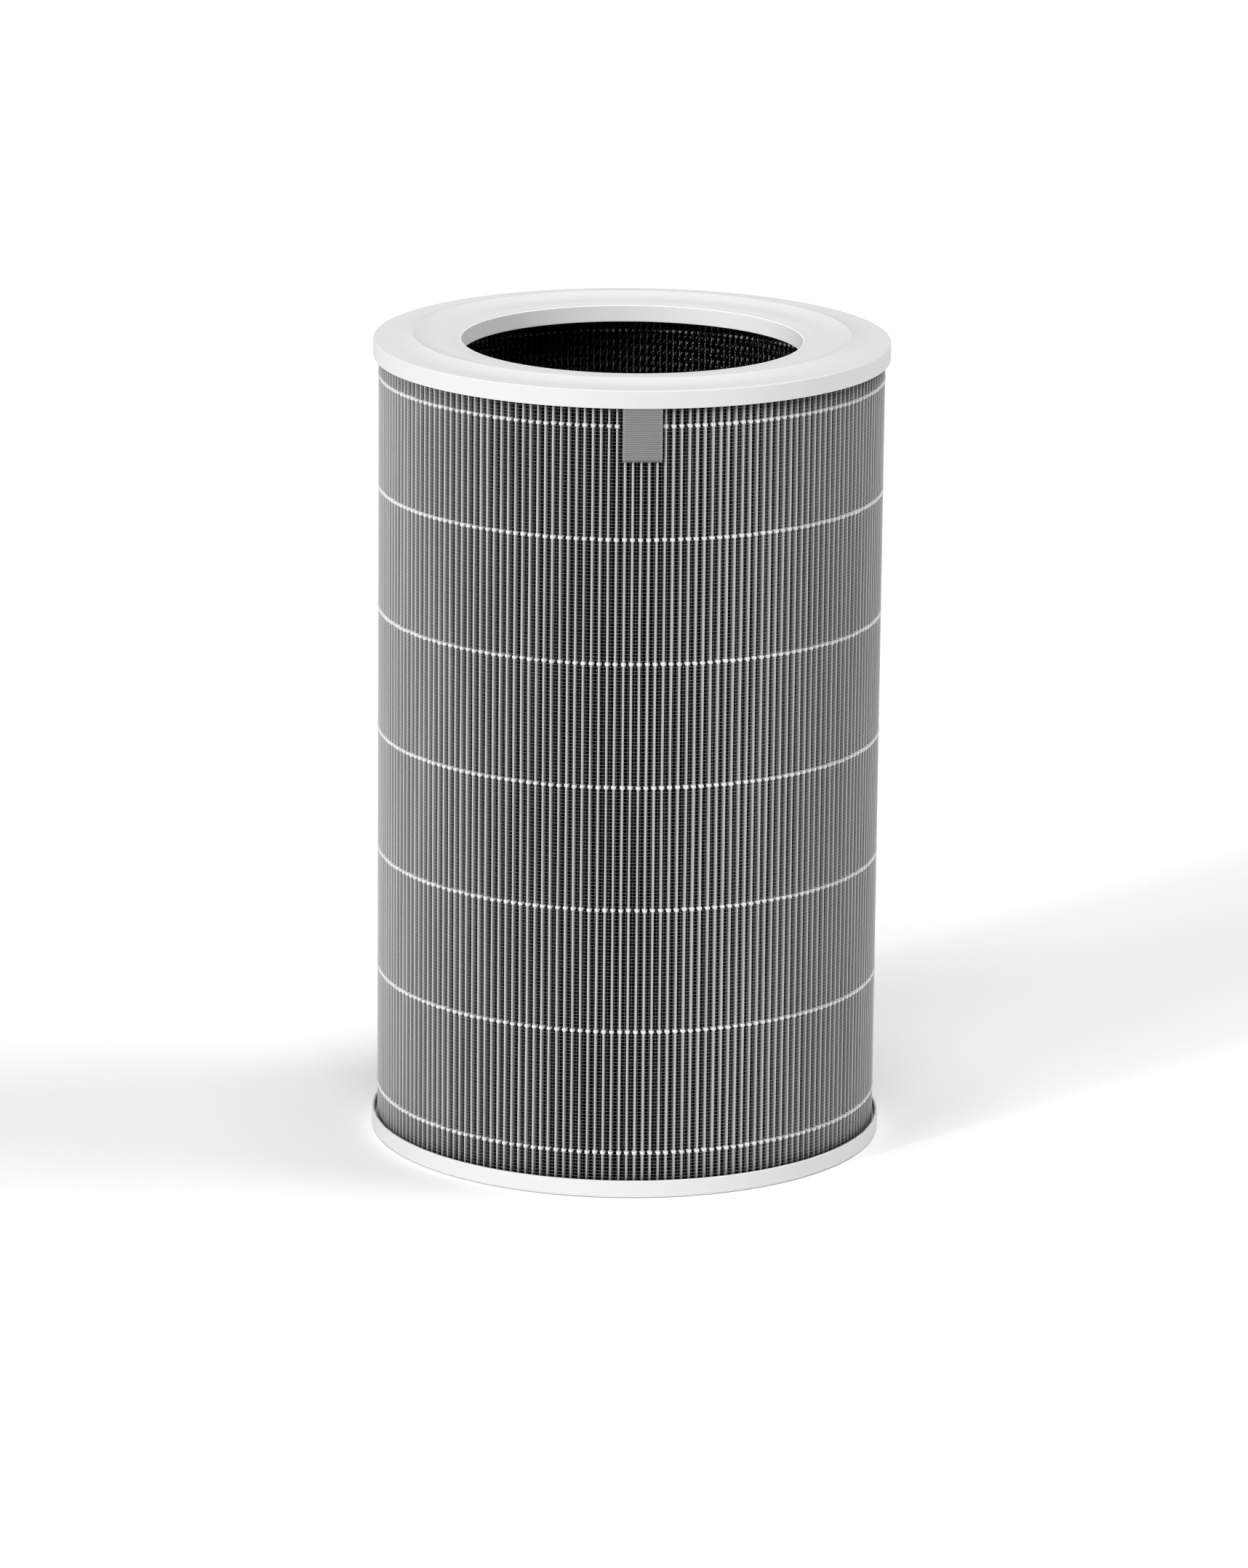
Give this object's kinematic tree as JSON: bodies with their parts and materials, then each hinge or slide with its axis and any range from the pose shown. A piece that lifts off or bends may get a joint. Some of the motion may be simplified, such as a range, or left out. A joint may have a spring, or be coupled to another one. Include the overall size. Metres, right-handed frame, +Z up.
{
  "type": "air purifier filter",
  "caption": "Cylindrical pleated air filter with moulded end caps, a round outlet opening, a raised sealing ridge, adhesive bead rings and a ribbon pull tab.",
  "frame": {"origin": "centre of the underside, on the surface that the filter stands on", "axes": "+Z up along the filter's axis to the outlet opening, front with the pull tab towards -Y, +X to the right"},
  "size_m": [0.22, 0.22, 0.3503],
  "materials": {
    "cap_plastic": "satin moulded",
    "filter_sheet": "pale net over black fibre sheet",
    "adhesive": "set hot melt",
    "net_plastic": "glossy extruded",
    "ribbon": "ribbed weave"
  },
  "bodies": {
    "root": {"top_end_cap": "cap_plastic", "bottom_end_cap": "cap_plastic", "pleated_sheet": "filter_sheet", "top_potting": "adhesive", "bottom_potting": "adhesive", "net_sleeve": "net_plastic", "pull_tab": "ribbon", "glue_bead_1": "adhesive", "glue_bead_2": "adhesive", "glue_bead_3": "adhesive", "glue_bead_4": "adhesive", "glue_bead_5": "adhesive", "glue_bead_6": "adhesive", "glue_bead_7": "adhesive"}
  },
  "joints": []
}
